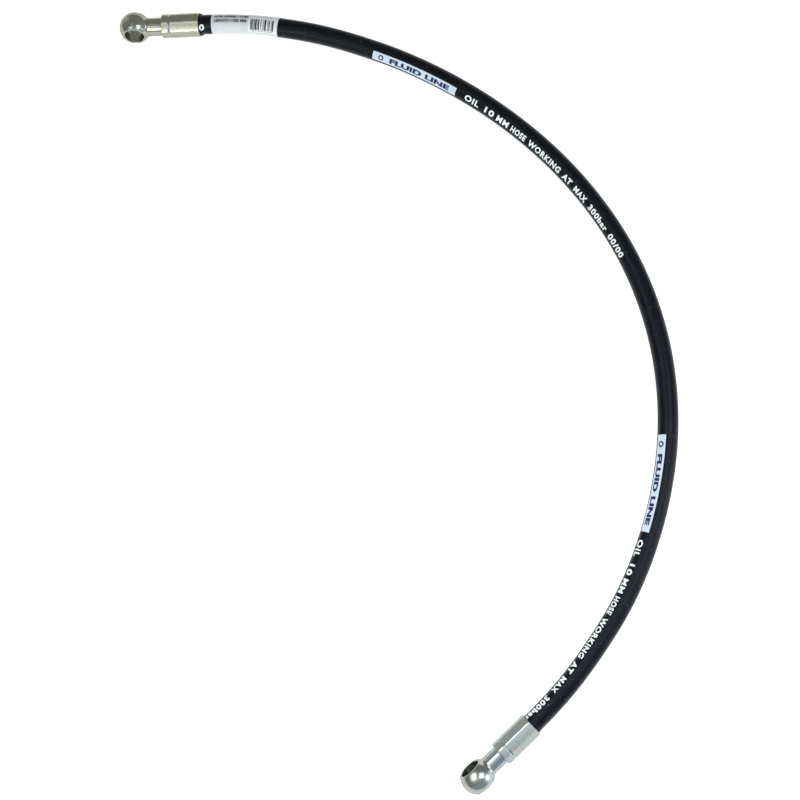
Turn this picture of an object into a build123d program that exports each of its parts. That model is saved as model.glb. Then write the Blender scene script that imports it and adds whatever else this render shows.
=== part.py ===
"""Hydraulic hose assembly: a two-wire-braid rubber hose with a crimped ball-shaped banjo eye at each end.

Units are millimetres and +Z is up. The hose lies on the plane z = 0 in an open C, and the origin is
the middle of the bottom of its box. End A is the eye at -X, +Y, and end B is the eye at +X, -Y.
Each end fitting is drawn in its own frame, with its origin at the centre of the eye: +X runs along
the fitting towards the hose, and +Z runs along the bore of the eye.
"""
from build123d import *

import math
import os

# Route of the hose's centre line, from the mouth of ferrule A to the mouth of ferrule B
HOSE_ROUTE = [
    (-179.5, 350.0, 12.76),
    (-154.5, 350.1, 11.93),
    (-109.5, 345.4, 10.76),
    (-49.5, 331.2, 9.75),
    (29.5, 298.2, 9.05),
    (104.5, 249.2, 9.05),
    (168.5, 187.2, 9.05),
    (216.5, 114.2, 9.05),
    (243.5, 36.2, 9.05),
    (250.5, -43.8, 9.05),
    (238.5, -120.8, 9.05),
    (211.5, -192.8, 9.75),
    (173.2, -250.9, 10.8),
    (142.9, -286.9, 11.96),
    (125.2, -303.6, 12.77),
]
ARC_SHARE = 0.45  # of the shorter run, used by each rounded corner of the route

# Hose, as radii from the centre line
BORE_R = 4.75
TUBE_R = 6.45
INNER_BRAID_R = 7.0
INTERLAYER_R = 7.5
OUTER_BRAID_R = 8.05
COVER_R = 9.05

# Banjo insert, along the fitting from the centre of the eye
BALL_R = 14.8
NECK_R = 8.5
NECK_FLARE_R = 3.5
EYE_WIDTH = 20.0
EYE_BORE_R = 9.1
EYE_CHAMFER = 0.4
SPOT_FACE_R = 12.5
PASSAGE_R = 3.25
NECK_END = 28.6
LOCK_GROOVE_END = 32.2
LOCK_SHOULDER_END = 34.4
LOCK_GROOVE_R = 6.0
LOCK_SHOULDER_R = 7.2
STEM_TIP = 61.0
STEM_TIP_CHAMFER = 1.0
STEM_VALLEY_R = 4.3
BARB_PITCH = 4.2
BARB_COUNT = 6
BARB_LAND = 1.2
BARB_VALLEY = 1.0

# Crimped ferrule, along the fitting from the centre of the eye
FERRULE_START = 27.0
FERRULE_MOUTH = 63.4
FERRULE_FLATS = 21.7
FERRULE_FACETS = 8
FACET_EDGE_R = 1.5
NECK_CHAMFER = 1.0
NECK_FACE_DROP = 0.6
MOUTH_CHAMFER = 0.5
MOUTH_FACE_DROP = 0.2
COLLAR_LENGTH = 7.2
COLLAR_GROOVE_WIDTH = 1.1
COLLAR_GROOVE_R = 10.45
FERRULE_BORE_R = 8.65
NECK_CLEARANCE = 0.25
LOCK_LIP_GAP = 0.3
TOOTH_R = 8.3
TOOTH_WIDTH = 1.4
TOOTH_PITCH = 4.0
TOOTH_COUNT = 5
FIRST_TOOTH = 39.0
BELL_LENGTH = 3.0
BELL_R = 9.9
HOSE_END = 35.2

# Swelling of the cover where it is squeezed out of each ferrule
BULGE_R_A = 10.4
BULGE_R_B = 9.4
BULGE_LENGTH = 3.4
BULGE_CREST = (0.2, 1.5)
BULGE_FALL = 2.7
BULGE_CREST_DROP = 0.15
COVER_OVERLAP = 0.3

# How each end is turned about its own axis, from straight up towards the inside of the C
EYE_LEAN_A = 77.0
EYE_LEAN_B = 70.0
FACET_LEAN_A = 29.6
FACET_LEAN_B = -10.2

# Labels on the cover, as distances along the hose from the mouth of ferrule A
FILM = 0.15
WRAP_LABEL_SPAN = (12.2, 77.0)
STRIP_1_SPAN = (174.2, 263.0)
STRIP_2_SPAN = (658.2, 745.8)
STRIP_WIDTH = 8.5
STRIP_1_LEAN = 48.0  # from straight up towards the inside of the C
STRIP_2_LEAN = 37.0


def write(shape, name):
    """Write one piece to its own file."""
    shape.label = name
    export_step(shape, f"parts/{name}.step")


def route_radii(points):
    """Radius of each rounded corner: as large as the shorter of its two runs allows."""
    vectors = [Vector(*point) for point in points]
    runs = [after - before for before, after in zip(vectors, vectors[1:])]
    radii = []
    for run, next_run in zip(runs, runs[1:]):
        half_turn = math.radians(run.get_angle(next_run) / 2)
        radii.append(ARC_SHARE * min(run.length, next_run.length) / math.tan(half_turn))
    return radii


def along(start, towards, distance):
    """The point at a distance from start, on the line towards another point."""
    return start + (towards - start).normalized() * distance


def hose_path(inside):
    """Centre line from mouth to mouth, and straight on for a length inside each ferrule."""
    points = [Vector(*point) for point in HOSE_ROUTE]
    first = along(points[0], points[1], -inside)
    last = along(points[-1], points[-2], -inside)
    return FilletPolyline(first, *points[1:-1], last, radius=route_radii(HOSE_ROUTE))


def fitting_plane(mouth, next_point, lean, inner_side):
    """Frame of one end fitting, with its bore leaning from straight up to the inside of the C."""
    mouth, next_point = Vector(*mouth), Vector(*next_point)
    axis = (next_point - mouth).normalized()
    sideways = axis.cross(Vector(0, 0, 1)).normalized() * inner_side
    upright = sideways.cross(axis) * inner_side
    angle = math.radians(lean)
    bore = upright * math.cos(angle) + sideways * math.sin(angle)
    return Plane(origin=mouth - axis * FERRULE_MOUTH, x_dir=axis, z_dir=bore)


def turned(profile):
    """Solid of revolution about the fitting's axis, from a closed list of (distance, radius)."""
    face = make_face(Polyline(*profile, close=True))
    return revolve(face, axis=Axis.X)


def stem_profile():
    """Lock groove, shoulder and barbed stem, as points from the neck to the stem's tip."""
    points = [
        (NECK_END, LOCK_GROOVE_R),
        (LOCK_GROOVE_END, LOCK_GROOVE_R),
        (LOCK_GROOVE_END, LOCK_SHOULDER_R),
        (LOCK_SHOULDER_END, LOCK_SHOULDER_R),
        (LOCK_SHOULDER_END, BORE_R),
    ]
    for barb in range(BARB_COUNT):
        land_end = LOCK_SHOULDER_END + BARB_LAND + barb * BARB_PITCH
        points += [
            (land_end, BORE_R),
            (land_end, STEM_VALLEY_R),
            (land_end + BARB_VALLEY, STEM_VALLEY_R),
            (land_end + BARB_PITCH - BARB_LAND, BORE_R),
        ]
    return points + [(STEM_TIP - STEM_TIP_CHAMFER, BORE_R), (STEM_TIP, STEM_VALLEY_R)]


def banjo_insert():
    """Ball-shaped eye, flared neck and barbed stem, in one forging with a bore and a flow passage."""
    flare_centre_r = NECK_R + NECK_FLARE_R
    flare_end = math.sqrt((BALL_R + NECK_FLARE_R) ** 2 - flare_centre_r ** 2)
    share = BALL_R / (BALL_R + NECK_FLARE_R)
    ball_end = (flare_end * share, flare_centre_r * share)
    ball_side_turn = math.radians(135)
    ball_side = (BALL_R * math.cos(ball_side_turn), BALL_R * math.sin(ball_side_turn))
    flare_turn = (math.radians(-90) + math.atan2(-flare_centre_r, -flare_end)) / 2
    flare_middle = (
        flare_end + NECK_FLARE_R * math.cos(flare_turn),
        flare_centre_r + NECK_FLARE_R * math.sin(flare_turn),
    )
    outline = [
        ThreePointArc((-BALL_R, 0), ball_side, ball_end),
        ThreePointArc(ball_end, flare_middle, (flare_end, NECK_R)),
        Polyline(
            (flare_end, NECK_R),
            (NECK_END, NECK_R),
            *stem_profile(),
            (STEM_TIP, 0),
            (-BALL_R, 0),
        ),
    ]
    body = revolve(make_face(outline), axis=Axis.X)
    for side in (1, -1):
        spot_face = Cylinder(SPOT_FACE_R, BALL_R, align=(Align.CENTER, Align.CENTER, Align.MIN))
        rim = Cone(EYE_BORE_R, EYE_BORE_R + 2 * EYE_CHAMFER, 2 * EYE_CHAMFER)
        turn = Rot(90 - side * 90, 0, 0)
        body -= turn * Pos(0, 0, EYE_WIDTH / 2) * spot_face
        body -= turn * Pos(0, 0, EYE_WIDTH / 2) * rim
    body -= Cylinder(EYE_BORE_R, EYE_WIDTH + 1)
    passage = Cylinder(PASSAGE_R, STEM_TIP + 1, align=(Align.CENTER, Align.CENTER, Align.MIN))
    return body - Rot(0, 90, 0) * passage


def ferrule_bore():
    """Inside of the ferrule: neck clearance, lock lip, toothed grip and belled mouth."""
    lip_start = NECK_END + LOCK_LIP_GAP
    lip_end = LOCK_GROOVE_END - LOCK_LIP_GAP
    points = [
        (FERRULE_START - 1, 0),
        (FERRULE_START - 1, NECK_R + NECK_CLEARANCE),
        (lip_start, NECK_R + NECK_CLEARANCE),
        (lip_start, LOCK_GROOVE_R),
        (lip_end, LOCK_GROOVE_R),
        (lip_end, FERRULE_BORE_R),
    ]
    for tooth in range(TOOTH_COUNT):
        start = FIRST_TOOTH + tooth * TOOTH_PITCH
        slope = FERRULE_BORE_R - TOOTH_R
        points += [
            (start, FERRULE_BORE_R),
            (start + slope, TOOTH_R),
            (start + TOOTH_WIDTH - slope, TOOTH_R),
            (start + TOOTH_WIDTH, FERRULE_BORE_R),
        ]
    points += [
        (FERRULE_MOUTH - BELL_LENGTH, FERRULE_BORE_R),
        (FERRULE_MOUTH, BELL_R),
        (FERRULE_MOUTH + 1, BELL_R),
        (FERRULE_MOUTH + 1, 0),
    ]
    return turned(points)


def crimp_ferrule(facet_turn):
    """Sleeve pressed into eight flats, with a turned groove behind its short neck-end collar."""
    length = FERRULE_MOUTH - FERRULE_START
    corner_r = FERRULE_FLATS / 2 / math.cos(math.pi / FERRULE_FACETS)
    section = RegularPolygon(corner_r, FERRULE_FACETS, rotation=180 / FERRULE_FACETS + facet_turn)
    section = fillet(section.vertices(), FACET_EDGE_R)
    prism = Plane(origin=(FERRULE_START, 0, 0), x_dir=(0, 0, 1), z_dir=(1, 0, 0)) * section
    prism = extrude(prism, amount=length)
    end_r = FERRULE_FLATS / 2
    envelope = turned([
        (FERRULE_START, 0),
        (FERRULE_START, end_r - NECK_FACE_DROP),
        (FERRULE_START + NECK_CHAMFER, end_r + NECK_CHAMFER),
        (FERRULE_MOUTH - MOUTH_CHAMFER, end_r + NECK_CHAMFER),
        (FERRULE_MOUTH, end_r - MOUTH_FACE_DROP),
        (FERRULE_MOUTH, 0),
    ])
    groove_start = FERRULE_START + COLLAR_LENGTH
    outside = corner_r + 1
    spread = outside - COLLAR_GROOVE_R
    groove = turned([
        (groove_start + COLLAR_GROOVE_WIDTH / 2, COLLAR_GROOVE_R),
        (groove_start + COLLAR_GROOVE_WIDTH / 2 + spread, outside),
        (groove_start + COLLAR_GROOVE_WIDTH / 2 - spread, outside),
    ])
    return (prism & envelope) - groove - ferrule_bore()


def cover_bulge(bulge_r):
    """Ring of cover rubber that fills the belled mouth and swells just outside it."""
    root_r = OUTER_BRAID_R + COVER_OVERLAP
    return turned([
        (FERRULE_MOUTH - BELL_LENGTH, root_r),
        (FERRULE_MOUTH - BELL_LENGTH, BELL_R),
        (FERRULE_MOUTH, BELL_R),
        (FERRULE_MOUTH + BULGE_CREST[0], bulge_r),
        (FERRULE_MOUTH + BULGE_CREST[1], bulge_r - BULGE_CREST_DROP),
        (FERRULE_MOUTH + BULGE_FALL, (bulge_r + COVER_R) / 2),
        (FERRULE_MOUTH + BULGE_LENGTH, COVER_R),
        (FERRULE_MOUTH + BULGE_LENGTH, root_r),
    ])


def hose_layer(path, inner_r, outer_r):
    """One layer of the hose: a ring carried along the whole centre line."""
    start = Plane(origin=path @ 0, z_dir=path % 0)
    ring = Circle(outer_r) - Circle(inner_r)
    return sweep(start * ring, path=path)


def label_span(path, span):
    """The part of the centre line between two distances from the mouth of ferrule A."""
    return path.trim(span[0] / path.length, span[1] / path.length)


def wrap_label(path):
    """Film label that goes all round the hose beside ferrule A."""
    return hose_layer(label_span(path, WRAP_LABEL_SPAN), COVER_R, COVER_R + FILM)


def strip_label(path, span, lean):
    """Narrow film strip along the hose, on the upper inner side of the C."""
    line = label_span(path, span)
    axis = line % 0
    inner = axis.cross(Vector(0, 0, 1)).normalized()
    turn = math.radians(lean)
    facing = Vector(0, 0, 1) * math.cos(turn) + inner * math.sin(turn)
    half = STRIP_WIDTH / 2 / COVER_R
    outer_r = COVER_R + FILM
    points = {}
    for name, radius in (("inner", COVER_R), ("outer", outer_r)):
        points[name] = [(radius * math.cos(side), radius * math.sin(side)) for side in (-half, 0, half)]
    outline = [
        ThreePointArc(*points["inner"]),
        Line(points["inner"][2], points["outer"][2]),
        ThreePointArc(*reversed(points["outer"])),
        Line(points["outer"][0], points["inner"][0]),
    ]
    section = Plane(origin=line @ 0, x_dir=facing, z_dir=axis) * make_face(outline)
    return sweep(section, path=line)


def build():
    """Make every piece and write it."""
    os.makedirs("parts", exist_ok=True)

    plane_a = fitting_plane(HOSE_ROUTE[0], HOSE_ROUTE[1], EYE_LEAN_A, inner_side=1)
    plane_b = fitting_plane(HOSE_ROUTE[-1], HOSE_ROUTE[-2], EYE_LEAN_B, inner_side=-1)
    insert = banjo_insert()
    write(plane_a * insert, "banjo_insert_a")
    write(plane_b * insert, "banjo_insert_b")
    ferrule_a = plane_a * crimp_ferrule(EYE_LEAN_A - FACET_LEAN_A)
    ferrule_b = plane_b * crimp_ferrule(FACET_LEAN_B - EYE_LEAN_B)
    write(ferrule_a, "crimp_ferrule_a")
    write(ferrule_b, "crimp_ferrule_b")

    path = hose_path(FERRULE_MOUTH - HOSE_END)
    write(hose_layer(path, BORE_R, TUBE_R), "inner_tube")
    write(hose_layer(path, TUBE_R, INNER_BRAID_R), "inner_wire_braid")
    write(hose_layer(path, INNER_BRAID_R, INTERLAYER_R), "rubber_interlayer")
    write(hose_layer(path, INTERLAYER_R, OUTER_BRAID_R), "outer_wire_braid")
    cover = hose_layer(path, OUTER_BRAID_R, COVER_R)
    cover = cover + plane_a * cover_bulge(BULGE_R_A) + plane_b * cover_bulge(BULGE_R_B)
    write(cover - ferrule_a - ferrule_b, "outer_cover")

    visible = hose_path(0)
    write(wrap_label(visible), "wrap_label")
    write(strip_label(visible, STRIP_1_SPAN, STRIP_1_LEAN), "strip_label_1")
    write(strip_label(visible, STRIP_2_SPAN, STRIP_2_LEAN), "strip_label_2")

    radii = ", ".join(f"{radius:.0f}" for radius in route_radii(HOSE_ROUTE))
    print(f"route radii: {radii}")
    print(f"hose between the ferrules {visible.length:.1f}, cut length {path.length:.1f}")
    print(f"eye to eye along the centre line {visible.length + 2 * FERRULE_MOUTH:.1f}")
    for name, plane in (("A", plane_a), ("B", plane_b)):
        print(f"eye {name}: centre {plane.origin}, bore {plane.z_dir}, axis {plane.x_dir}")


build()
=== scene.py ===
"""Looks of the hydraulic hose assembly: its cover, print, labels, ferrules and fittings.

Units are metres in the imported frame's own axes: +Z up from the floor, the hose in an open C, with end A
at -X, +Y. Each piece is first shaped straight, in local places (x along, y inward, z upward), and then
put in place. On the hose, x is the distance along it from the mouth of ferrule A, and inward is towards
the inside of the C. On a fitting, x is the distance from the centre of its eye. A lean is an angle from
upward towards inward, in degrees.
"""

import bisect
import math
import random

import bmesh
import bpy
from mathutils import Matrix, Vector, noise


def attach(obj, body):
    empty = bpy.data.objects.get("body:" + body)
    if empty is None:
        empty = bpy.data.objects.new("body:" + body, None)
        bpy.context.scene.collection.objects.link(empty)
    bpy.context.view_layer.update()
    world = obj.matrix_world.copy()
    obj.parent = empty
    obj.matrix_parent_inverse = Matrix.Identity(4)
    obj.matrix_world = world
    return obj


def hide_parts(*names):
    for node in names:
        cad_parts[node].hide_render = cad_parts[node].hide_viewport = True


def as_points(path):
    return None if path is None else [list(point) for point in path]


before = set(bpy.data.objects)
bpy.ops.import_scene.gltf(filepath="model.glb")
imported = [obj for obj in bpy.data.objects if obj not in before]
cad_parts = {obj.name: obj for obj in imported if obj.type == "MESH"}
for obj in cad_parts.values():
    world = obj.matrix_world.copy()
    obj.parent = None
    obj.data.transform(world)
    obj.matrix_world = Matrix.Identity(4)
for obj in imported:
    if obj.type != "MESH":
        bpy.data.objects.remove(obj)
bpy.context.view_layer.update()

MM = 0.001
UP = Vector((0, 0, 1))

# Camera
CAMERA_PLACE = Vector((0.20076, -0.29851, 1.4007))
CAMERA_TARGET = Vector((0.01086, -0.01734, 0))
LENS = 72
SENSOR = 36

# Route of the hose's centre line, from the mouth of ferrule A to the mouth of ferrule B
HOSE_ROUTE = [
    (-0.1795, 0.3500, 0.01276),
    (-0.1545, 0.3501, 0.01193),
    (-0.1095, 0.3454, 0.01076),
    (-0.0495, 0.3312, 0.00975),
    (0.0295, 0.2982, 0.00905),
    (0.1045, 0.2492, 0.00905),
    (0.1685, 0.1872, 0.00905),
    (0.2165, 0.1142, 0.00905),
    (0.2435, 0.0362, 0.00905),
    (0.2505, -0.0438, 0.00905),
    (0.2385, -0.1208, 0.00905),
    (0.2115, -0.1928, 0.00975),
    (0.1732, -0.2509, 0.0108),
    (0.1429, -0.2869, 0.01196),
    (0.1252, -0.3036, 0.01277),
]
ROUTE_STEPS = 64

# Meshes
SHARP_ANGLE = 35
LETTER_STEPS = 4
MERGE_GAP = 0.001 * MM  # points of a letter that are nearer than this become one
CUT_GAP = 0.0001 * MM  # a cut that is nearer than this to a point goes through it

# Hose
COVER_R = 9.05 * MM
COVER_INNER_R = 8.05 * MM
GRIPPED_R = 8.25 * MM
HELD = 28.2 * MM
COVER_ROW = 1.5 * MM
COVER_SIDES = 80
BULGE_R = {"a": 10.4 * MM, "b": 9.4 * MM}
BULGE_LENGTH = 3.4 * MM
BULGE_CREST = 1.6 * MM
BULGE_RISE = (0.02, 0.25, 0.6, 1.0)  # places of the rows up to the crest, as shares of the way there
BULGE_ROW = 0.2 * MM

# Crimped ferrules, along the fitting from the centre of the eye
FERRULE_START = 27.0 * MM
FERRULE_MOUTH = 63.4 * MM
FERRULE_FLATS = 21.7 * MM
FACETS = 8
FACET_EDGE_R = 1.5 * MM
FACET_CROWN = 0.2 * MM
NECK_CHAMFER = 1.0 * MM
NECK_FACE_DROP = 0.6 * MM
MOUTH_CHAMFER = 0.5 * MM
MOUTH_FACE_DROP = 0.2 * MM
GROOVE_MIDDLE = 34.75 * MM
GROOVE_R = 10.45 * MM
GROOVE_HALF = 1.4 * MM
NECK_BORE_R = 8.75 * MM
FERRULE_BORE_R = 8.65 * MM
BELL_R = 9.9 * MM
BELL_LENGTH = 3.0 * MM
LOCK_LIP = (28.9 * MM, 31.9 * MM)
LOCK_R = 6.0 * MM
FACET_LEAN = {"a": 29.6, "b": -10.2}
FACET_POINTS = 18
FERRULE_ROWS = [  # where each part of the ferrule ends, and the step between its rows
    (FERRULE_START + 1.2 * MM, 0.12 * MM),
    (GROOVE_MIDDLE - GROOVE_HALF, 0.6 * MM),
    (GROOVE_MIDDLE + GROOVE_HALF, 0.1 * MM),
    (FERRULE_MOUTH - 0.8 * MM, 0.6 * MM),
    (FERRULE_MOUTH, 0.08 * MM),
]
EDGE_ROUND = 0.25 * MM
RIDGE_WAVE = 0.04 * MM
RIDGE_WAVE_LENGTH = 6.0 * MM
RIDGE_WAVE_POWER = 4
RIDGE_WAVE_STEP = 5.3  # between the waves of one ridge and the next, in the noise that they follow
# Bright plate on the ferrule: in the collar groove it is painted light that lifts the shade, and on the
# ridges it is rubbed metal with a painted highlight line
GROOVE_PAINTED_LIGHT = 0.55
RIDGE_WEAR_AND_HIGHLIGHT_POWER = 6

# Labels, as distances along the hose
FILM = 0.15 * MM
FILM_GAP = 0.02 * MM
FILM_TURN = 4.0
WRAP_SPAN = (12.2 * MM, 77.0 * MM)
WRAP_START_LEAN = 150
WRAP_OVERLAP = 20
WRAP_ROW = 0.6 * MM
CURL_RISE = 0.12 * MM
CURL_LENGTH = 1.2 * MM
LAP_SLOPE = 4
STRIPS = {
    "strip_label_1": ((174.2 * MM, 263.0 * MM), 48.0),
    "strip_label_2": ((658.2 * MM, 745.8 * MM), 37.0),
}
STRIP_WIDTH = 8.5 * MM
STRIP_ROW = 1.0 * MM

# Print on the labels: text, height of its capitals, its length, how bold it is, and how widely spaced
LABEL_UPPER = ("HOSE ASSEMBLY 10 MM", 2.4 * MM, 32.5 * MM, 0.06)
LABEL_LOWER = ("LENGTH 1000 MM", 2.7 * MM, 31.0 * MM, 0.06)
LABEL_DIGITS = ("0 1 2 3 4 5 6", 1.3 * MM, 20.0 * MM, 0.02)
STRIP_WORDS = ("FLUID LINE", 4.3 * MM, 64.0 * MM, 0.085, 1.04)
LABEL_LINE_GAP = 4.7 * MM
LABEL_WORDS_PLACE = (15.4 * MM, 2)  # each place is a start along the hose and a lean
LABEL_DIGITS_PLACE = (52.0 * MM, 58)
PANEL_PLACE = (48.2 * MM, 19)
PANEL_LENGTH = 28.0 * MM
PANEL_EDGES = (-8.0 * MM, 7.0 * MM)
PANEL_ROW = 2.0 * MM
CODE_PLACE = (50.4 * MM, 19)
CODE_SIZE = (23.0 * MM, 10.4 * MM)
CODE_BARS = (0.4, 0.4, 0.8, 1.2, 1.6)  # widths in millimetres, from which each bar's is drawn
CODE_GAPS = (0.4, 0.4, 0.8, 1.2)
CODE_SEED = 7
STRIP_WORDS_START = 17.5 * MM
STRIP_MARK_START = 8.6 * MM
STRIP_MARK_R = (3.0 * MM, 1.6 * MM)

# Print on the cover
PRINT_GROUPS = [  # each with its start and its length along one print
    ("OIL", 0.0, 15.5 * MM),
    ("10", 22.5 * MM, 10.5 * MM),
    ("MM", 36.5 * MM, 13.5 * MM),
    ("HOSE", 53.6 * MM, 17.5 * MM),
    ("WORKING", 75.0 * MM, 41.0 * MM),
    ("AT", 120.5 * MM, 11.5 * MM),
    ("MAX", 137.0 * MM, 16.5 * MM),
    ("300bar", 159.0 * MM, 28.0 * MM),
    ("00/00", 192.0 * MM, 24.0 * MM),
]
PRINT_STARTS = (-210.8 * MM, 273.6 * MM, 753.5 * MM)
PRINT_CAP = 5.3 * MM
PRINT_SPACING = 1.18
PRINT_BOLD = 0.055
PRINT_LEAN = 41.0
PRINT_MARGIN = 0.3 * MM
CAP_SHARE = 0.682  # height of a capital as a share of the font's size
ART_THICK = 0.03 * MM
ART_GAP = 0.03 * MM
ART_STRIP = 0.5 * MM

# Materials: colours, roughness, and the depth of their relief
MOST_NOISE = (0.3, 0.7)  # where most of the values of a noise lie
COVER_BLACK = (0.0015, 0.0019, 0.0030, 1)
COVER_BLUE_BLACK = (0.0030, 0.0036, 0.0070, 1)
COVER_RUB = (0.014, 0.014, 0.016, 1)
COVER_DUST = (0.10, 0.10, 0.105, 1)
COVER_GLOSS_TINT = (0.80, 0.87, 1.0, 1)
COVER_ROUGH = (0.30, 0.38)
RUB_ROUGH = 0.12  # added in the rub marks
DUST_ROUGH = 0.2  # added in the dust
DUST_LEVEL = (0.74, 0.78)
COVER_WAVES = 0.05 * MM
COVER_RUB_DEPTH = 0.006 * MM
COVER_GRAIN = 0.008 * MM
ZINC_WARM = (0.35, 0.343, 0.265, 1)
ZINC_COOL = (0.315, 0.35, 0.37, 1)
ZINC_DULL = (0.18, 0.18, 0.16, 1)
# Bare metal where the plate is rubbed, also used as a painted highlight on the ferrule's ridges and as
# painted light in its collar groove
BARE_METAL_AND_HIGHLIGHT = (0.62, 0.62, 0.57, 1)
EDGE_TINT = (0.62, 0.60, 0.54, 1)  # how dark the zinc turns when seen edge-on
ZINC_WARMTH = {"a": 0.62, "b": 0.38}
ZINC_TINT_SPREAD = 0.18
ZINC_ROUGH_SPREAD = (-0.05, 0.09)
ZINC_WAVES = 0.05 * MM
ZINC_GRAIN = 0.004 * MM
TOOL_RING_DEPTH = 0.004 * MM
FERRULE_ROUGH = 0.28
INSERT_ROUGH = {"a": 0.15, "b": 0.20}
WRAP_WHITE = (0.63, 0.63, 0.655, 1)
WRAP_SHADE = (0.57, 0.575, 0.61, 1)
STRIP_PALE = (0.60, 0.70, 0.81, 1)
STRIP_SHADE = (0.53, 0.63, 0.77, 1)
FILM_SCUFF = (0.5, 0.5, 0.5, 1)
FILM_SCUFF_SHARE = 0.35
FILM_ROUGH = (0.30, 0.50)
FILM_WRINKLES = 0.03 * MM
INKS = {  # colour of the ink, colour where it is worn, and the noise above which it is worn
    "print_ink": ((0.90, 0.94, 0.96, 1), (0.05, 0.05, 0.05, 1), 0.72),
    "label_ink": ((0.012, 0.012, 0.018, 1), (0.30, 0.30, 0.32, 1), 0.74),
    "label_panel": ((0.80, 0.80, 0.82, 1), (0.70, 0.70, 0.72, 1), 0.74),
    "strip_ink": ((0.016, 0.010, 0.095, 1), (0.30, 0.34, 0.50, 1), 0.72),
}
INK_PALE_SHARE = 0.86
INK_ROUGH = (0.45, 0.62)
INK_WEAR_EDGE = 0.06
TUBE_BLACK = (0.03, 0.03, 0.03, 1)
BRAID_WIRE = (0.62, 0.56, 0.42, 1)
INNER_LAYERS = {  # material, colour, metallic, roughness and scale of its blotches
    "inner_tube": ("tube_rubber", TUBE_BLACK, 0.0, 0.6, 300.0),
    "rubber_interlayer": ("interlayer_rubber", TUBE_BLACK, 0.0, 0.6, 300.0),
    "inner_wire_braid": ("inner_braid_wire", BRAID_WIRE, 1.0, 0.35, 900.0),
    "outer_wire_braid": ("outer_braid_wire", BRAID_WIRE, 1.0, 0.35, 900.0),
}
LAYER_DARK_SHARE = 0.6
LAYER_ROUGH_SPREAD = 0.08
LAYER_RELIEF = 0.05 * MM

# Studio
FLOOR_SIDE = 8.0
FLOOR_GLOW = 0.60
FLOOR_PALE = (0.86, 0.86, 0.86, 1)
FLOOR_PALER = (0.88, 0.88, 0.88, 1)
FLOOR_ROUGH = (0.75, 0.85)
WINDOW_SIDE = (0.67, -0.74, 0.0)
WINDOW_FULL = 0.9
AIR_DIM = (0.37, 0.385, 0.355, 1)
AIR_WINDOW = (0.58, 0.68, 0.76, 1)
LIGHTS = [  # name, place, what it is aimed at, side, brightness, colour and spread
    ("key_box", (-0.49, -0.52, 0.61), "eye_a", 0.42, 6.8, (1.0, 1.0, 0.88), 70),
    ("left_box", (-0.36, -0.42, 1.10), "eye_b", 1.00, 4.8, (1.0, 1.0, 0.96), 56),
    ("low_box", (1.05, -0.40, 0.28), "eye_b", 0.75, 5.0, (1.0, 1.0, 0.94), 48),
    ("top_box", (-0.35, 0.07, 1.48), "eye_b", 0.75, 4.2, (0.88, 0.96, 1.0), 40),
    ("sky_box", (0.32, -0.57, 1.30), "eye_b", 0.90, 0.68, (0.68, 0.86, 1.0), 50),
    ("side_box", (-0.75, 0.57, 0.42), "mouth_b", 0.80, 0.6, (0.95, 1.0, 1.0), 50),
    ("facet_box", (-0.36, -0.60, 0.90), "mouth_a", 0.70, 2.2, (1.0, 1.0, 0.93), 44),
    ("window_box", (0.80, -0.10, 1.15), "hose", 0.80, 4.2, (0.84, 0.93, 1.0), 120),
]
HOSE_AIM = (0.22, -0.15, 0)


# ---------------------------------------------------------------- camera and centre line

def make_camera():
    """Camera above the hose, looking down on it with +Y up in the picture."""
    camera = bpy.data.objects.new("camera", bpy.data.cameras.new("camera"))
    camera.data.lens = LENS
    camera.data.sensor_width = SENSOR
    back = (CAMERA_PLACE - CAMERA_TARGET).normalized()
    right = Vector((0, 1, 0)).cross(back).normalized()
    turn = Matrix((right, back.cross(right), back)).transposed()
    camera.matrix_world = Matrix.LocRotScale(CAMERA_PLACE, turn, None)
    bpy.context.scene.collection.objects.link(camera)
    bpy.context.scene.camera = camera


def route_points():
    """Points of the smooth centre line, read from the NURBS spline through the route."""
    curve = bpy.data.curves.new("route", "CURVE")
    curve.dimensions = "3D"
    curve.resolution_u = ROUTE_STEPS
    spline = curve.splines.new("NURBS")
    spline.points.add(len(HOSE_ROUTE) - 1)
    for point, place in zip(spline.points, HOSE_ROUTE):
        point.co = (*place, 1)
    spline.order_u = 3
    spline.use_endpoint_u = True
    guide = bpy.data.objects.new("route", curve)
    mesh = bpy.data.meshes.new_from_object(guide)
    points = [vertex.co.copy() for vertex in mesh.vertices]
    bpy.data.objects.remove(guide)
    bpy.data.meshes.remove(mesh)
    return points


class CentreLine:
    """The hose's centre line, from mouth to mouth, and straight on inside each ferrule."""

    def __init__(self, points):
        first = points[0] + (points[0] - points[1]).normalized() * HELD
        last = points[-1] + (points[-1] - points[-2]).normalized() * HELD
        self.length = sum((after - before).length for before, after in zip(points, points[1:]))
        self.points = [first, *points, last]
        self.distances = [-HELD]
        for before, after in zip(self.points, self.points[1:]):
            self.distances.append(self.distances[-1] + (after - before).length)
        runs = [(after - before).normalized() for before, after in zip(self.points, self.points[1:])]
        self.forwards = [runs[0]]
        for before, after in zip(runs, runs[1:]):
            self.forwards.append((before + after).normalized())
        self.forwards.append(runs[-1])

    def place(self, local):
        """Where a local place of the straight hose comes on the laid hose."""
        index = bisect.bisect_right(self.distances, local.x) - 1
        index = min(max(index, 0), len(self.points) - 2)
        start, end = self.distances[index], self.distances[index + 1]
        share = (local.x - start) / (end - start)
        point = self.points[index].lerp(self.points[index + 1], share)
        forward = self.forwards[index].lerp(self.forwards[index + 1], share).normalized()
        inward = forward.cross(UP).normalized()
        return point + inward * local.y + inward.cross(forward) * local.z


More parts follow.
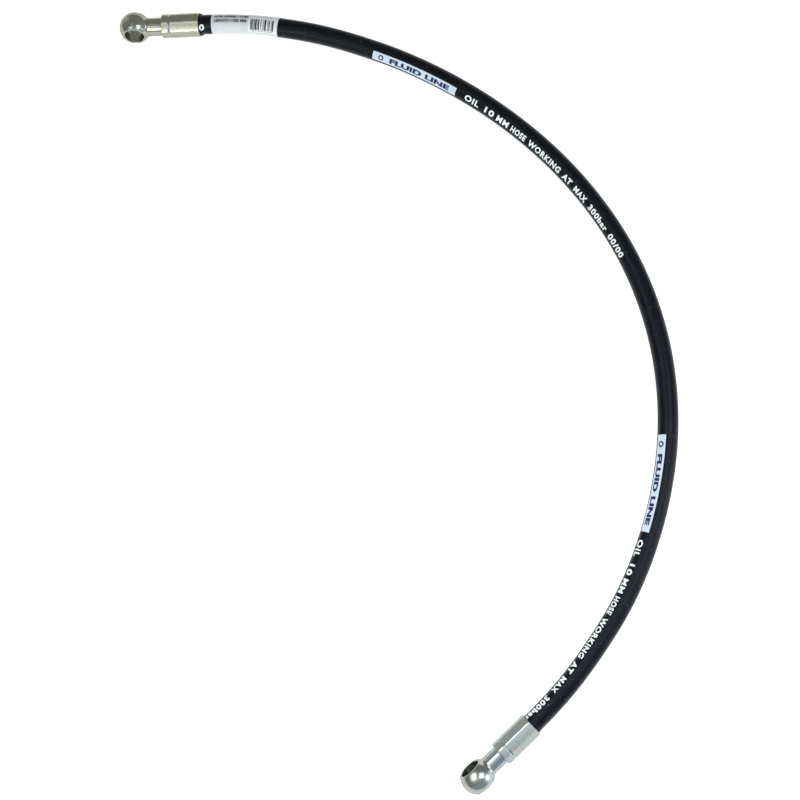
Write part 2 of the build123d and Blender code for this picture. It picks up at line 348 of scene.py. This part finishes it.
class Fitting:
    """The straight frame of one end fitting, from the centre of its eye towards the hose."""

    def __init__(self, mouth, next_point, inner_side):
        self.axis = (Vector(next_point) - Vector(mouth)).normalized()
        self.inward = self.axis.cross(UP).normalized() * inner_side
        self.upward = self.inward.cross(self.axis) * inner_side
        self.eye = Vector(mouth) - self.axis * FERRULE_MOUTH

    def place(self, local):
        """Where a local place of the fitting comes in the frame."""
        return self.eye + self.axis * local.x + self.inward * local.y + self.upward * local.z


# ---------------------------------------------------------------- mesh helpers

def polar(along, lean, radius):
    """Local place at a distance along, and at an angle and a radius round the axis."""
    turn = math.radians(lean)
    return Vector((along, radius * math.sin(turn), radius * math.cos(turn)))


def spaced(start, end, step):
    """Evenly spaced values from start to end, both included, about one step apart."""
    count = max(1, round(abs(end - start) / step))
    return [start + (end - start) * index / count for index in range(count + 1)]


def finished(name, mesh, material):
    """Link a mesh to the scene as a smooth piece that rides on the object's one body."""
    for polygon in mesh.polygons:
        polygon.use_smooth = True
    mesh.set_sharp_from_angle(angle=math.radians(SHARP_ANGLE))
    mesh.materials.append(material)
    piece = bpy.data.objects.new(name, mesh)
    bpy.context.scene.collection.objects.link(piece)
    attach(piece, "root")
    return piece


def lofted(name, rings, place, closed, material):
    """Mesh through rings of local places: joined from last to first, or capped at both ends."""
    count = len(rings[0])
    mesh = bpy.data.meshes.new(name)
    faces = []
    for row in range(len(rings) if closed else len(rings) - 1):
        next_row = (row + 1) % len(rings)
        for column in range(count):
            next_column = (column + 1) % count
            faces.append((
                row * count + column,
                row * count + next_column,
                next_row * count + next_column,
                next_row * count + column,
            ))
    if not closed:
        faces.append(tuple(range(count)))
        faces.append(tuple(range(len(rings) * count - count, len(rings) * count)))
    locals_ = [local for ring in rings for local in ring]
    mesh.from_pydata([place(local) for local in locals_], [], faces)
    keep_local(mesh, locals_)
    art = bmesh.new()
    art.from_mesh(mesh)
    bmesh.ops.recalc_face_normals(art, faces=art.faces)
    art.to_mesh(mesh)
    art.free()
    return finished(name, mesh, material)


def keep_local(mesh, locals_):
    """Store each vertex's local place, which the materials follow along and round the piece."""
    attribute = mesh.attributes.new("local", "FLOAT_VECTOR", "POINT")
    attribute.data.foreach_set("vector", [value for local in locals_ for value in local])


def flat_art(outlines):
    """Flat printed shapes as a bmesh with a little thickness, each from the points of its outline."""
    art = bmesh.new()
    for outline in outlines:
        low = [art.verts.new((x, y, 0)) for x, y in outline]
        high = [art.verts.new((x, y, ART_THICK)) for x, y in outline]
        art.faces.new(high)
        art.faces.new(list(reversed(low)))
        for index in range(len(outline)):
            after = (index + 1) % len(outline)
            art.faces.new((low[index], low[after], high[after], high[index]))
    return art


def text_art(text, cap, length, bold, spacing=1.0):
    """Flat lettering of a given length as a bmesh, from x = 0, with its capitals centred on y = 0."""
    curve = bpy.data.curves.new("lettering", "FONT")
    curve.body = text
    curve.size = cap / CAP_SHARE
    curve.offset = bold * cap
    curve.space_character = spacing
    curve.extrude = ART_THICK / 2
    curve.resolution_u = LETTER_STEPS
    letters = bpy.data.objects.new("lettering", curve)
    mesh = bpy.data.meshes.new_from_object(letters)
    art = bmesh.new()
    art.from_mesh(mesh)
    bpy.data.objects.remove(letters)
    bpy.data.meshes.remove(mesh)
    bmesh.ops.remove_doubles(art, verts=art.verts, dist=MERGE_GAP)
    low = min(vertex.co.x for vertex in art.verts)
    high = max(vertex.co.x for vertex in art.verts)
    stretch = length / (high - low)
    for vertex in art.verts:
        vertex.co.x = (vertex.co.x - low) * stretch
        vertex.co.y -= cap / 2
        vertex.co.z += ART_THICK / 2
    return art


def sliced(art, cuts, across):
    """Cut flat art at some distances along one direction, so that it can follow a curved surface."""
    for cut in cuts:
        geometry = [*art.verts, *art.edges, *art.faces]
        bmesh.ops.bisect_plane(art, geom=geometry, dist=CUT_GAP, plane_co=across * cut, plane_no=across)


def clipped(art, low, high):
    """Drop the part of flat art that is outside two values of x."""
    for edge, side in ((low, -1), (high, 1)):
        geometry = [*art.verts, *art.edges, *art.faces]
        bmesh.ops.bisect_plane(
            art, geom=geometry, dist=CUT_GAP, plane_co=(edge, 0, 0), plane_no=(side, 0, 0), clear_outer=True
        )
    return art


def printed(name, art, place, surface, material):
    """Lay flat art on the hose: x runs along it from a start, and y runs outward from a lean."""
    start, lean = place
    low = min(vertex.co.y for vertex in art.verts)
    high = max(vertex.co.y for vertex in art.verts)
    sliced(art, spaced(low, high, ART_STRIP)[1:-1], Vector((0, 1, 0)))
    locals_ = []
    for vertex in art.verts:
        along = start + vertex.co.x
        radius = surface(along) + vertex.co.z
        locals_.append(polar(along, lean - math.degrees(vertex.co.y / surface(along)), radius))
    mesh = bpy.data.meshes.new(name)
    art.to_mesh(mesh)
    art.free()
    mesh.vertices.foreach_set("co", [value for local in locals_ for value in line.place(local)])
    keep_local(mesh, locals_)
    mesh.update()
    return finished(name, mesh, material)


def joined_art(parts):
    """One bmesh from several, each moved by its own (x, y)."""
    whole = bmesh.new()
    for art, (x, y) in parts:
        bmesh.ops.translate(art, verts=art.verts, vec=(x, y, 0))
        mesh = bpy.data.meshes.new("part")
        art.to_mesh(mesh)
        art.free()
        whole.from_mesh(mesh)
        bpy.data.meshes.remove(mesh)
    return whole


# ---------------------------------------------------------------- materials

class Surface:
    """A procedural material, built up node by node round one Principled shader."""

    def __init__(self, name, **fixed):
        self.material = bpy.data.materials.new(name)
        self.material.use_nodes = True
        self.nodes = self.material.node_tree.nodes
        self.links = self.material.node_tree.links
        self.shader = self.nodes["Principled BSDF"]
        for socket, value in fixed.items():
            self.shader.inputs[socket.replace("_", " ")].default_value = value

    def node(self, kind, inputs=(), **settings):
        """Add a node, and give each listed input a value or another node's output."""
        node = self.nodes.new(kind)
        for name, value in settings.items():
            setattr(node, name, value)
        for name, value in dict(inputs).items():
            if isinstance(value, bpy.types.NodeSocket):
                self.links.new(value, node.inputs[name])
            else:
                node.inputs[name].default_value = value
        return node

    def local(self):
        """The piece's own straight place: along, inward and upward."""
        return self.node("ShaderNodeAttribute", attribute_name="local").outputs["Vector"]

    def stretched(self, vector, scale):
        """The vector with each of its parts scaled."""
        node = self.node("ShaderNodeVectorMath", {0: vector, 1: scale}, operation="MULTIPLY")
        return node.outputs["Vector"]

    def noise(self, vector, scale, detail=3.0, roughness=0.5):
        """Cloudy noise from 0 to 1."""
        inputs = {"Vector": vector, "Scale": scale, "Detail": detail, "Roughness": roughness}
        return self.node("ShaderNodeTexNoise", inputs).outputs["Fac"]

    def ranged(self, value, low, high, out_low=0.0, out_high=1.0):
        """A value taken from one range to another, and kept inside it."""
        inputs = {0: value, 1: low, 2: high, 3: out_low, 4: out_high}
        return self.node("ShaderNodeMapRange", inputs).outputs[0]

    def math(self, operation, first, second):
        """One sum, product or other operation on two values."""
        return self.node("ShaderNodeMath", {0: first, 1: second}, operation=operation).outputs[0]

    def mixed(self, share, first, second):
        """A colour between two others."""
        node = self.node("ShaderNodeMix", data_type="RGBA")
        for socket, value in ((0, share), (6, first), (7, second)):
            if isinstance(value, bpy.types.NodeSocket):
                self.links.new(value, node.inputs[socket])
            else:
                node.inputs[socket].default_value = value
        return node.outputs[2]

    def bump(self, height, depth, under=None):
        """A normal pushed in and out by a height, whose full range is this deep."""
        inputs = {"Height": height, "Distance": depth, "Strength": 1.0}
        if under is not None:
            inputs["Normal"] = under
        return self.node("ShaderNodeBump", inputs).outputs["Normal"]

    def drive(self, socket, output):
        """Link an output to one socket of the shader."""
        self.links.new(output, self.shader.inputs[socket])


def rubber_cover():
    """Satin black cover: fine grain, long faint rub marks, and a little pale dust."""
    surface = Surface("cover_rubber", Specular_IOR_Level=0.15, Specular_Tint=COVER_GLOSS_TINT)
    local = surface.local()
    clouds = surface.noise(local, scale=45.0)
    rubs = surface.noise(surface.stretched(local, (0.05, 1.0, 1.0)), scale=900.0, detail=4.0)
    grain = surface.noise(local, scale=2600.0, detail=2.0)
    dust = surface.ranged(surface.noise(local, scale=520.0, detail=1.0), *DUST_LEVEL)
    dark = surface.mixed(clouds, COVER_BLACK, COVER_BLUE_BLACK)
    rubbed = surface.mixed(surface.ranged(rubs, 0.56, 0.80), dark, COVER_RUB)
    surface.drive("Base Color", surface.mixed(dust, rubbed, COVER_DUST))
    rough = surface.ranged(clouds, *MOST_NOISE, *COVER_ROUGH)
    rough = surface.math("ADD", rough, surface.ranged(rubs, 0.5, 0.8, 0, RUB_ROUGH))
    rough = surface.math("ADD", rough, surface.math("MULTIPLY", dust, DUST_ROUGH))
    surface.drive("Roughness", rough)
    relief = surface.bump(surface.noise(local, scale=120.0, detail=1.0), COVER_WAVES)
    relief = surface.bump(rubs, COVER_RUB_DEPTH, relief)
    surface.drive("Normal", surface.bump(grain, COVER_GRAIN, relief))
    return surface.material


def zinc(name, warmth, roughness, vector_of, along_of=None):
    """Bright zinc plate: two tints in soft clouds, fine grain and, on turned parts, tool rings."""
    surface = Surface(name, Metallic=1.0, Specular_Tint=EDGE_TINT)
    vector = vector_of(surface)
    clouds = surface.noise(vector, scale=95.0, detail=2.0)
    tint = surface.ranged(clouds, warmth - ZINC_TINT_SPREAD, warmth + ZINC_TINT_SPREAD)
    grain = surface.noise(vector, scale=3400.0, detail=2.0)
    marks = surface.noise(surface.stretched(vector, (0.18, 1.0, 1.0)), scale=1300.0, detail=4.0)
    colour = surface.mixed(tint, ZINC_WARM, ZINC_COOL)
    dull = surface.ranged(marks, 0.50, 0.78, 0.0, 0.5)
    plate = surface.mixed(dull, colour, ZINC_DULL)
    # The worn attribute mixes in bare metal: rubbed ridges with a painted highlight line, and painted light
    # in the collar groove
    worn = surface.node("ShaderNodeAttribute", attribute_name="worn").outputs["Fac"]
    surface.drive("Base Color", surface.mixed(worn, plate, BARE_METAL_AND_HIGHLIGHT))
    smoothest, roughest = (roughness + spread for spread in ZINC_ROUGH_SPREAD)
    surface.drive("Roughness", surface.ranged(marks, 0.25, 0.75, smoothest, roughest))
    relief = surface.bump(grain, ZINC_GRAIN, surface.bump(clouds, ZINC_WAVES))
    if along_of is not None:
        inputs = {"W": along_of(surface, vector), "Scale": 3000.0, "Detail": 1.0}
        rings = surface.node("ShaderNodeTexNoise", inputs, noise_dimensions="1D")
        relief = surface.bump(rings.outputs["Fac"], TOOL_RING_DEPTH, relief)
    surface.drive("Normal", relief)
    return surface.material


def film(name, tint, shade):
    """Printed plastic film: faintly uneven colour, a soft gloss and shallow wrinkles."""
    surface = Surface(name, Specular_IOR_Level=0.5)
    local = surface.local()
    clouds = surface.noise(local, scale=70.0)
    scuffs = surface.noise(surface.stretched(local, (0.25, 1.0, 1.0)), scale=1500.0)
    colour = surface.mixed(clouds, tint, shade)
    scuffed = surface.ranged(scuffs, 0.62, 0.8, 0, FILM_SCUFF_SHARE)
    surface.drive("Base Color", surface.mixed(scuffed, colour, FILM_SCUFF))
    surface.drive("Roughness", surface.ranged(scuffs, 0.3, 0.8, *FILM_ROUGH))
    wrinkles = surface.noise(local, scale=260.0, detail=2.0)
    surface.drive("Normal", surface.bump(wrinkles, FILM_WRINKLES))
    return surface.material


def ink(name):
    """Printed ink: slightly blotchy, and worn through in small specks."""
    colour, worn, wear = INKS[name]
    surface = Surface(name, Specular_IOR_Level=0.35)
    local = surface.local()
    blotches = surface.noise(local, scale=900.0)
    specks = surface.noise(local, scale=2600.0, detail=2.0)
    holes = surface.ranged(specks, wear, wear + INK_WEAR_EDGE)
    pale = (*(channel * INK_PALE_SHARE for channel in colour[:3]), 1)
    surface.drive("Base Color", surface.mixed(holes, surface.mixed(blotches, colour, pale), worn))
    surface.drive("Roughness", surface.ranged(blotches, *MOST_NOISE, *INK_ROUGH))
    return surface.material


def plain_inner(name, colour, metallic, roughness, scale):
    """Material of a layer that only shows when the hose is cut: blotchy colour and an uneven face."""
    surface = Surface(name, Metallic=metallic)
    place = surface.node("ShaderNodeTexCoord").outputs["Object"]
    blotches = surface.noise(place, scale)
    darker = (*(channel * LAYER_DARK_SHARE for channel in colour[:3]), 1)
    surface.drive("Base Color", surface.mixed(blotches, colour, darker))
    smoothest, roughest = roughness - LAYER_ROUGH_SPREAD, roughness + LAYER_ROUGH_SPREAD
    surface.drive("Roughness", surface.ranged(blotches, *MOST_NOISE, smoothest, roughest))
    surface.drive("Normal", surface.bump(blotches, LAYER_RELIEF))
    return surface.material


# ---------------------------------------------------------------- hose

def cover_radius(along):
    """Outside radius of the cover, with the swelling at each ferrule's mouth."""
    for end, outside in (("a", along), ("b", line.length - along)):
        if outside < -BELL_LENGTH:
            return GRIPPED_R
        if outside < 0:
            share = (outside + BELL_LENGTH) / BELL_LENGTH
            return GRIPPED_R + (min(BELL_R, BULGE_R[end]) - GRIPPED_R) * share
        if outside < BULGE_LENGTH:
            fall = max(0.0, (outside - BULGE_CREST) / (BULGE_LENGTH - BULGE_CREST))
            share = 0.5 + 0.5 * math.cos(math.pi * fall)
            return COVER_R + (BULGE_R[end] - COVER_R) * share
    return COVER_R


def hose_cover():
    """The whole cover as a hollow tube, gripped inside both ferrules and swelling at their mouths."""
    ends = [BULGE_CREST * share for share in BULGE_RISE]
    ends += spaced(BULGE_CREST, BULGE_LENGTH, BULGE_ROW)[1:]
    outer = [-HELD, -HELD / 2, -BELL_LENGTH, *ends]
    middle = spaced(BULGE_LENGTH, line.length - BULGE_LENGTH, COVER_ROW)[1:-1]
    rows = outer + middle + [line.length - distance for distance in reversed(outer)]
    leans = [360 * side / COVER_SIDES for side in range(COVER_SIDES)]
    rings = [[polar(along, lean, cover_radius(along)) for lean in leans] for along in rows]
    inner = spaced(line.length + HELD, -HELD, 3 * COVER_ROW)
    rings += [[polar(along, lean, COVER_INNER_R) for lean in leans] for along in inner]
    return lofted("hose_cover", rings, line.place, True, rubber_cover())


def hose_print():
    """White lettering along the cover, repeated, and cut off where a ferrule covers it."""
    white = ink("print_ink")
    swelling = spaced(0, BULGE_LENGTH, ART_STRIP)
    swelling += [line.length - distance for distance in swelling]
    for number, start in enumerate(PRINT_STARTS):
        groups = []
        for text, offset, length in PRINT_GROUPS:
            groups.append((text_art(text, PRINT_CAP, length, PRINT_BOLD, PRINT_SPACING), (offset, 0)))
        art = clipped(joined_art(groups), PRINT_MARGIN - start, line.length - PRINT_MARGIN - start)
        sliced(art, [along - start for along in swelling], Vector((1, 0, 0)))
        printed(f"cover_print_{number}", art, (start, PRINT_LEAN), cover_radius, white)


# ---------------------------------------------------------------- labels

def film_rings(span, start_lean, end_lean, radius_of, step):
    """Rings round a curved film's edge, one at each distance along it."""
    leans = spaced(start_lean, end_lean, FILM_TURN)
    rings = []
    for along in spaced(*span, step):
        outer = [polar(along, lean, radius_of(along, lean) + FILM) for lean in leans]
        inner = [polar(along, lean, radius_of(along, lean)) for lean in reversed(leans)]
        rings.append(outer + inner)
    return rings


def wrap_label():
    """White label that goes once round the hose, its end lapped over its start underneath."""
    lap_start = WRAP_START_LEAN + 360

    def radius_of(along, lean):
        edge = min(along - WRAP_SPAN[0], WRAP_SPAN[1] - along)
        curl = CURL_RISE * max(0.0, 1 - edge / CURL_LENGTH)
        lap = FILM * min(1.0, max(0.0, (lean - lap_start + LAP_SLOPE) / LAP_SLOPE))
        return COVER_R + FILM_GAP + lap + curl

    rings = film_rings(WRAP_SPAN, WRAP_START_LEAN, lap_start + WRAP_OVERLAP, radius_of, WRAP_ROW)
    piece = lofted("wrap_label_film", rings, line.place, False, film("wrap_film", WRAP_WHITE, WRAP_SHADE))
    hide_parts("wrap_label")


def film_surface(along):
    """Radius at which print lies on a label, the same all along it."""
    return COVER_R + FILM + ART_GAP


def panel_surface(along):
    """Radius at which the wrap label's dark print lies, just above its pale panel."""
    return film_surface(along) + 2 * ART_THICK


def wrap_label_print():
    """Two plain lines, and a row of bars over a row of digits on a paler panel."""
    low, high = PANEL_EDGES
    panel = flat_art([[(0, low), (PANEL_LENGTH, low), (PANEL_LENGTH, high), (0, high)]])
    sliced(panel, spaced(0, PANEL_LENGTH, PANEL_ROW)[1:-1], Vector((1, 0, 0)))
    printed("wrap_label_panel", panel, PANEL_PLACE, film_surface, ink("label_panel"))
    dark = ink("label_ink")
    words = joined_art([
        (text_art(*LABEL_UPPER), (0, LABEL_LINE_GAP)),
        (text_art(*LABEL_LOWER), (0, 0)),
    ])
    printed("wrap_label_text", words, LABEL_WORDS_PLACE, panel_surface, dark)
    printed("wrap_label_code", bar_code(*CODE_SIZE), CODE_PLACE, panel_surface, dark)
    printed("wrap_label_digits", text_art(*LABEL_DIGITS), LABEL_DIGITS_PLACE, panel_surface, dark)


def bar_code(length, height):
    """A row of bars of uneven width, which stands for nothing."""
    draw = random.Random(CODE_SEED)
    bars = []
    x = 0.0
    while x < length:
        width = draw.choice(CODE_BARS) * MM
        end = min(x + width, length)
        bars.append([(x, -height / 2), (end, -height / 2), (end, height / 2), (x, height / 2)])
        x = end + draw.choice(CODE_GAPS) * MM
    return flat_art(bars)


def strip_labels():
    """Narrow pale labels along the hose, with plain lettering and a plain six-sided mark."""
    pale = film("strip_film", STRIP_PALE, STRIP_SHADE)
    navy = ink("strip_ink")
    half = math.degrees(STRIP_WIDTH / 2 / COVER_R)
    for name, (span, lean) in STRIPS.items():
        rings = film_rings(span, lean - half, lean + half, strip_radius, STRIP_ROW)
        piece = lofted(f"{name}_film", rings, line.place, False, pale)
        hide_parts(name)
        words = text_art(*STRIP_WORDS)
        mark = hexagon_ring(*STRIP_MARK_R)
        art = joined_art([(words, (STRIP_WORDS_START, 0)), (mark, (STRIP_MARK_START, 0))])
        printed(f"{name}_print", art, (span[0], lean), film_surface, navy)


def strip_radius(along, lean):
    """Radius of the under side of a strip label, the same all over it."""
    return COVER_R + FILM_GAP


def hexagon_ring(outer, inner):
    """A plain six-sided ring, as six flat bars."""
    turns = [math.radians(60 * side) for side in range(6)]
    corners = [(math.cos(turn), math.sin(turn)) for turn in turns]
    bars = []
    for (x, y), (next_x, next_y) in zip(corners, corners[1:] + corners[:1]):
        bars.append([
            (x * inner, y * inner),
            (x * outer, y * outer),
            (next_x * outer, next_y * outer),
            (next_x * inner, next_y * inner),
        ])
    return flat_art(bars)


# ---------------------------------------------------------------- ferrules and inserts

def facet_radius(turn):
    """Radius of the crimped outline, at an angle in degrees from the middle of its nearest flat."""
    half_side = 180 / FACETS
    turn = (turn + half_side) % (2 * half_side) - half_side
    flat = FERRULE_FLATS / 2
    centre = (flat - FACET_EDGE_R) / math.cos(math.radians(half_side))
    flat_half = (flat - FACET_EDGE_R) * math.tan(math.radians(half_side))
    angle = abs(math.radians(turn))
    if math.tan(angle) * flat < flat_half:
        radius = flat / math.cos(angle)
    else:
        off = math.radians(half_side) - angle
        radius = centre * math.cos(off) + math.sqrt(FACET_EDGE_R ** 2 - (centre * math.sin(off)) ** 2)
    return radius + FACET_CROWN * (1 - (turn / half_side) ** 2)


def ridge_share(turn):
    """How near an angle is to a ridge: 0 in the middle of a flat and 1 on the ridge."""
    half_side = 180 / FACETS
    return abs((turn + half_side) % (2 * half_side) - half_side) / half_side


def wear_and_highlight_share(along, turn):
    """How far the ferrule's plate is made bright: rubbed metal with a painted highlight line on the ridges,
    and painted light that lifts the shade in the collar groove.
    """
    groove = max(0.0, 1 - abs(along - GROOVE_MIDDLE) / GROOVE_HALF)
    return max(GROOVE_PAINTED_LIGHT * groove, ridge_share(turn) ** RIDGE_WEAR_AND_HIGHLIGHT_POWER)


def soft_min(first, second, width):
    """The smaller of two values, rounded over where they meet."""
    share = max(0.0, 1 - abs(first - second) / width)
    return min(first, second) - share * share * width / 4


def ferrule_limit(along):
    """Largest radius of the ferrule at a distance from the eye: its end chamfers and its groove."""
    end_r = FERRULE_FLATS / 2
    neck = end_r - NECK_FACE_DROP + (along - FERRULE_START) * (NECK_CHAMFER + NECK_FACE_DROP) / NECK_CHAMFER
    mouth_slope = (NECK_CHAMFER + MOUTH_FACE_DROP) / MOUTH_CHAMFER
    mouth = end_r - MOUTH_FACE_DROP + (FERRULE_MOUTH - along) * mouth_slope
    groove = GROOVE_R + abs(along - GROOVE_MIDDLE)
    return min(neck, mouth, groove)


def ferrule(end, fitting, material):
    """Crimped sleeve with eight flats, wavy ridges between them, a collar groove and a belled mouth.

    The points round it are closer together near the ridges.
    """
    half_side = 180 / FACETS
    shares = [2 * index / FACET_POINTS - 1 for index in range(FACET_POINTS)]
    offsets = [half_side * (1.5 * share - 0.5 * share ** 3) for share in shares]
    turns = [2 * half_side * facet + offset for facet in range(FACETS) for offset in offsets]
    rows = [FERRULE_START]
    for part_end, step in FERRULE_ROWS:
        rows += spaced(rows[-1], part_end, step)[1:]
    rings = []
    for along in rows:
        ring = []
        for turn in turns:
            ridge = round(turn / (2 * half_side)) * RIDGE_WAVE_STEP
            wave = noise.noise(Vector((along / RIDGE_WAVE_LENGTH, ridge, ord(end))))
            radius = facet_radius(turn) + RIDGE_WAVE * wave * ridge_share(turn) ** RIDGE_WAVE_POWER
            radius = soft_min(radius, ferrule_limit(along), EDGE_ROUND)
            ring.append(polar(along, turn + FACET_LEAN[end], radius))
        rings.append(ring)
    inside = [
        (FERRULE_MOUTH, BELL_R),
        (FERRULE_MOUTH - BELL_LENGTH, FERRULE_BORE_R),
        (LOCK_LIP[1], FERRULE_BORE_R),
        (LOCK_LIP[1], LOCK_R),
        (LOCK_LIP[0], LOCK_R),
        (LOCK_LIP[0], NECK_BORE_R),
        (FERRULE_START, NECK_BORE_R),
    ]
    rings += [[polar(along, turn + FACET_LEAN[end], radius) for turn in turns] for along, radius in inside]
    piece = lofted(f"ferrule_{end}", rings, fitting.place, True, material)
    # Worn share at each point: rubbed ridges with a painted highlight line, and painted light in the collar
    # groove; none on the inside
    worn = [wear_and_highlight_share(along, turn) for along in rows for turn in turns]
    worn += [0.0] * len(turns) * len(inside)
    piece.data.attributes.new("worn", "FLOAT", "POINT").data.foreach_set("value", worn)
    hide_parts(f"crimp_ferrule_{end}")
    return piece


def fitting_vector(fitting):
    """A maker of node sockets that give a CAD node's place in its fitting's own straight frame."""
    turn = Matrix((fitting.axis, fitting.inward, fitting.upward)).to_4x4()
    inverse = turn @ Matrix.Translation(-fitting.eye)

    def vector_of(surface):
        place = surface.node("ShaderNodeTexCoord").outputs["Object"]
        settings = {"Location": inverse.to_translation(), "Rotation": inverse.to_euler()}
        return surface.node("ShaderNodeMapping", {"Vector": place, **settings}).outputs["Vector"]

    return vector_of


def along_part(surface, vector):
    """The part of a straight place that runs along the piece."""
    return surface.node("ShaderNodeSeparateXYZ", {"Vector": vector}).outputs["X"]


def paint_node(name, material):
    """Give a CAD node that stays in view a new material."""
    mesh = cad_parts[name].data
    mesh.materials.clear()
    mesh.materials.append(material)


# ---------------------------------------------------------------- studio

def soft_box(name, place, target, size, radiance, colour, spread):
    """A square studio light, aimed at a point, with its brightness given as seen from there."""
    half = math.radians(spread) / 2
    light = bpy.data.lights.new(name, "AREA")
    light.shape = "SQUARE"
    light.size = size
    light.energy = radiance * math.pi * size * size * (1 - half / math.tan(half))
    light.color = colour
    light.spread = 2 * half
    box = bpy.data.objects.new(name, light)
    box.location = place
    box.rotation_euler = (Vector(target) - Vector(place)).to_track_quat("-Z", "Y").to_euler()
    box.visible_camera = False
    bpy.context.scene.collection.objects.link(box)


def studio_air():
    """Dim even air, a little brighter and bluer towards the window side."""
    world = bpy.data.worlds.new("studio_air")
    bpy.context.scene.world = world
    world.use_nodes = True
    nodes, links = world.node_tree.nodes, world.node_tree.links
    direction = nodes.new("ShaderNodeTexCoord")
    side = nodes.new("ShaderNodeVectorMath")
    side.operation = "DOT_PRODUCT"
    side.inputs[1].default_value = WINDOW_SIDE
    ramp = nodes.new("ShaderNodeValToRGB")
    links.new(direction.outputs["Generated"], side.inputs[0])
    links.new(side.outputs["Value"], ramp.inputs["Fac"])
    links.new(ramp.outputs["Color"], nodes["Background"].inputs["Color"])
    ramp.color_ramp.elements[0].position = 0.0
    ramp.color_ramp.elements[0].color = AIR_DIM
    ramp.color_ramp.elements[1].position = WINDOW_FULL
    ramp.color_ramp.elements[1].color = AIR_WINDOW


def floor():
    """Plain pale floor, lit a little from below like a light table."""
    glow = {"Emission_Color": (1, 1, 1, 1), "Emission_Strength": FLOOR_GLOW}
    surface = Surface("floor_paper", Specular_IOR_Level=0.2, **glow)
    place = surface.node("ShaderNodeTexCoord").outputs["Object"]
    clouds = surface.noise(place, scale=3.0)
    surface.drive("Base Color", surface.mixed(clouds, FLOOR_PALE, FLOOR_PALER))
    grain = surface.noise(place, scale=600.0)
    surface.drive("Roughness", surface.ranged(grain, *MOST_NOISE, *FLOOR_ROUGH))
    half = FLOOR_SIDE / 2
    corners = [(-half, -half, 0), (half, -half, 0), (half, half, 0), (-half, half, 0)]
    mesh = bpy.data.meshes.new("floor")
    mesh.from_pydata(corners, [], [(0, 1, 2, 3)])
    mesh.materials.append(surface.material)
    sheet = bpy.data.objects.new("floor", mesh)
    bpy.context.scene.collection.objects.link(sheet)


def studio():
    """Floor, air and soft lights: most of them are narrow and aimed at one end fitting."""
    studio_air()
    floor()
    aims = {
        "eye_a": fittings["a"].eye,
        "eye_b": fittings["b"].eye,
        "mouth_a": HOSE_ROUTE[0],
        "mouth_b": HOSE_ROUTE[-1],
        "hose": HOSE_AIM,
    }
    for name, place, aim, size, radiance, colour, spread in LIGHTS:
        soft_box(name, place, aims[aim], size, radiance, colour, spread)
    bpy.context.scene.view_settings.view_transform = "Standard"


# ---------------------------------------------------------------- build

make_camera()
line = CentreLine(route_points())
cover = hose_cover()
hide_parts("outer_cover")

fittings = {
    "a": Fitting(HOSE_ROUTE[0], HOSE_ROUTE[1], 1),
    "b": Fitting(HOSE_ROUTE[-1], HOSE_ROUTE[-2], -1),
}
for end, fitting in fittings.items():
    plate = zinc(f"ferrule_zinc_{end}", ZINC_WARMTH[end], FERRULE_ROUGH, Surface.local)
    ferrule(end, fitting, plate)
    vector_of = fitting_vector(fitting)
    plate = zinc(f"insert_zinc_{end}", ZINC_WARMTH[end], INSERT_ROUGH[end], vector_of, along_part)
    paint_node(f"banjo_insert_{end}", plate)

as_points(line.points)

hose_print()
wrap_label()
wrap_label_print()
strip_labels()
for node, layer in INNER_LAYERS.items():
    paint_node(node, plain_inner(*layer))
studio()

bpy.context.view_layer.update()
